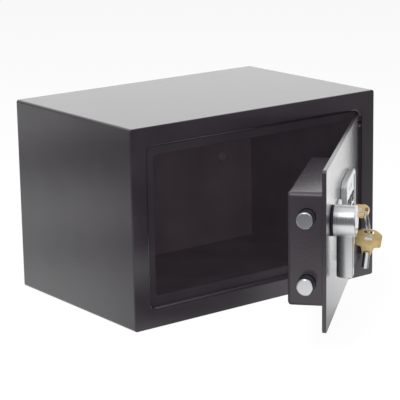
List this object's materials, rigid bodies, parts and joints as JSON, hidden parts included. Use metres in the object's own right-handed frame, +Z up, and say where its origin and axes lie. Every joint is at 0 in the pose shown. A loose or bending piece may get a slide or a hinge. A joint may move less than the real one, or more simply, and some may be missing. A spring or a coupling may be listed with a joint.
{
  "type": "small electronic safe",
  "caption": "Small steel box safe with an open hinged door, keypad, hub-and-lever handle, sliding bolts, and a tubular override key in its lock with a spare on its ring.",
  "frame": {"origin": "middle of the body's underside", "axes": "+X to the hinge side, +Y to the back panel, +Z up; the door side is at -Y"},
  "size_m": [0.31, 0.3784, 0.2],
  "materials": {
    "black_paint": "smooth semi-gloss black powder coat",
    "satin_silver": "satin silver casting",
    "bright_steel": "turned bright steel",
    "zinc_steel": "zinc plated",
    "key_brass": "satin brass",
    "silver_plastic": "silver painted plastic",
    "black_plastic": "fine matt moulding",
    "grey_rubber": "smooth silicone rubber",
    "black_rubber": "smooth black rubber",
    "green_board": "circuit board",
    "battery_wrap": "plain printed wrap",
    "copper_wire": "enamelled copper winding",
    "amber_lens": "clear tinted lens",
    "reset_red": "smooth moulding"
  },
  "bodies": {
    "body": {"body_shell": "black_paint", "back_panel": "black_paint", "hole_plug_left": "black_rubber", "hole_plug_right": "black_rubber", "front_frame": "black_paint", "door_stop": "black_paint", "hinge_bracket_lower": "zinc_steel", "hinge_bracket_upper": "zinc_steel"},
    "door": {"door_plate": "black_paint", "hinge_rod": "black_paint", "bolt_cover": "black_paint", "cover_screw_1": "zinc_steel", "cover_screw_2": "zinc_steel", "cover_screw_3": "zinc_steel", "cover_screw_4": "zinc_steel", "guide_stud_lower": "zinc_steel", "guide_stud_upper": "zinc_steel", "solenoid_frame": "zinc_steel", "solenoid_coil": "copper_wire", "battery_tray": "black_plastic", "battery_1": "battery_wrap", "battery_2": "battery_wrap", "battery_3": "battery_wrap", "battery_4": "battery_wrap", "control_board": "green_board", "keypad_housing": "silver_plastic", "keypad_panel": "black_plastic", "keypad_board": "green_board", "indicator_1": "amber_lens", "indicator_2": "amber_lens", "lock_body": "bright_steel", "lock_nut": "zinc_steel", "handle_washer": "black_plastic"},
    "battery_lid": {"battery_lid": "black_plastic"},
    "reset_button": {"reset_button": "reset_red"},
    "handle": {"handle_lever": "satin_silver", "handle_spindle": "zinc_steel", "crank_arm": "zinc_steel"},
    "bolt_work": {"bolt_carriage": "zinc_steel", "bolt_lower": "bright_steel", "bolt_upper": "bright_steel"},
    "plunger": {"solenoid_plunger": "bright_steel", "plunger_spring": "bright_steel"},
    "plug": {"lock_plug": "bright_steel", "lock_cam": "zinc_steel"},
    "key": {"key_in_lock": "key_brass"},
    "key_ring": {"key_ring": "bright_steel"},
    "spare_key": {"spare_key": "key_brass"},
    "button_1": {"button_1": "grey_rubber"},
    "button_2": {"button_2": "grey_rubber"},
    "button_3": {"button_3": "grey_rubber"},
    "button_4": {"button_4": "grey_rubber"},
    "button_5": {"button_5": "grey_rubber"},
    "button_6": {"button_6": "grey_rubber"},
    "button_7": {"button_7": "grey_rubber"},
    "button_8": {"button_8": "grey_rubber"},
    "button_9": {"button_9": "grey_rubber"},
    "button_clear": {"button_clear": "grey_rubber"},
    "button_0": {"button_0": "grey_rubber"},
    "button_enter": {"button_enter": "grey_rubber"}
  },
  "joints": [
    {"name": "door_hinge", "type": "hinge", "parent": "body", "child": "door", "pos_m": [0.134, -0.098, 0.1], "axis": [0, 0, 1], "range_deg": [-41.3, 53.7]},
    {"name": "handle_turn", "type": "hinge", "parent": "door", "child": "handle", "pos_m": [-0.03203, -0.24386, 0.1195], "axis": [-0.66, 0.7513, 0], "range_deg": [0, 60]},
    {"name": "bolt_slide", "type": "slide", "parent": "door", "child": "bolt_work", "axis": [-0.7513, -0.66, 0], "range_m": [0, 0.0105]},
    {"name": "plunger_retract", "type": "slide", "parent": "door", "child": "plunger", "axis": [0, 0, -1], "range_m": [0, 0.004], "stiffness_N_per_m": 100, "springref_m": -0.002, "deforming": ["plunger_spring"]},
    {"name": "lock_turn", "type": "hinge", "parent": "door", "child": "plug", "pos_m": [-0.00048, -0.21614, 0.1183], "axis": [0.66, -0.7513, 0], "range_deg": [0, 90]},
    {"name": "key_pull", "type": "slide", "parent": "plug", "child": "key", "axis": [0.66, -0.7513, 0], "range_m": [0, 0.02]},
    {"name": "ring_turn", "type": "hinge", "parent": "key", "child": "key_ring", "pos_m": [0.01635, -0.24361, 0.10948], "axis": [0.6492, -0.7389, 0.1805], "range_deg": [-30, 30]},
    {"name": "spare_key_swing", "type": "hinge", "parent": "key_ring", "child": "spare_key", "pos_m": [0.01757, -0.24499, 0.09945], "axis": [0.7513, 0.66, 0], "range_deg": [-30, 22]},
    {"name": "battery_lid_lift", "type": "slide", "parent": "door", "child": "battery_lid", "axis": [-0.66, 0.7513, 0], "range_m": [0, 0.02]},
    {"name": "reset_press", "type": "slide", "parent": "door", "child": "reset_button", "axis": [0.66, -0.7513, 0], "range_m": [0, 0.0012], "stiffness_N_per_m": 300},
    {"name": "button_1_press", "type": "slide", "parent": "door", "child": "button_1", "axis": [-0.66, 0.7513, 0], "range_m": [0, 0.0006], "stiffness_N_per_m": 500},
    {"name": "button_2_press", "type": "slide", "parent": "door", "child": "button_2", "axis": [-0.66, 0.7513, 0], "range_m": [0, 0.0006], "stiffness_N_per_m": 500},
    {"name": "button_3_press", "type": "slide", "parent": "door", "child": "button_3", "axis": [-0.66, 0.7513, 0], "range_m": [0, 0.0006], "stiffness_N_per_m": 500},
    {"name": "button_4_press", "type": "slide", "parent": "door", "child": "button_4", "axis": [-0.66, 0.7513, 0], "range_m": [0, 0.0006], "stiffness_N_per_m": 500},
    {"name": "button_5_press", "type": "slide", "parent": "door", "child": "button_5", "axis": [-0.66, 0.7513, 0], "range_m": [0, 0.0006], "stiffness_N_per_m": 500},
    {"name": "button_6_press", "type": "slide", "parent": "door", "child": "button_6", "axis": [-0.66, 0.7513, 0], "range_m": [0, 0.0006], "stiffness_N_per_m": 500},
    {"name": "button_7_press", "type": "slide", "parent": "door", "child": "button_7", "axis": [-0.66, 0.7513, 0], "range_m": [0, 0.0006], "stiffness_N_per_m": 500},
    {"name": "button_8_press", "type": "slide", "parent": "door", "child": "button_8", "axis": [-0.66, 0.7513, 0], "range_m": [0, 0.0006], "stiffness_N_per_m": 500},
    {"name": "button_9_press", "type": "slide", "parent": "door", "child": "button_9", "axis": [-0.66, 0.7513, 0], "range_m": [0, 0.0006], "stiffness_N_per_m": 500},
    {"name": "button_clear_press", "type": "slide", "parent": "door", "child": "button_clear", "axis": [-0.66, 0.7513, 0], "range_m": [0, 0.0006], "stiffness_N_per_m": 500},
    {"name": "button_0_press", "type": "slide", "parent": "door", "child": "button_0", "axis": [-0.66, 0.7513, 0], "range_m": [0, 0.0006], "stiffness_N_per_m": 500},
    {"name": "button_enter_press", "type": "slide", "parent": "door", "child": "button_enter", "axis": [-0.66, 0.7513, 0], "range_m": [0, 0.0006], "stiffness_N_per_m": 500}
  ],
  "couplings": [
    {"joint": "bolt_slide", "follows": "handle_turn", "m_per_rad": 0.010027}
  ]
}
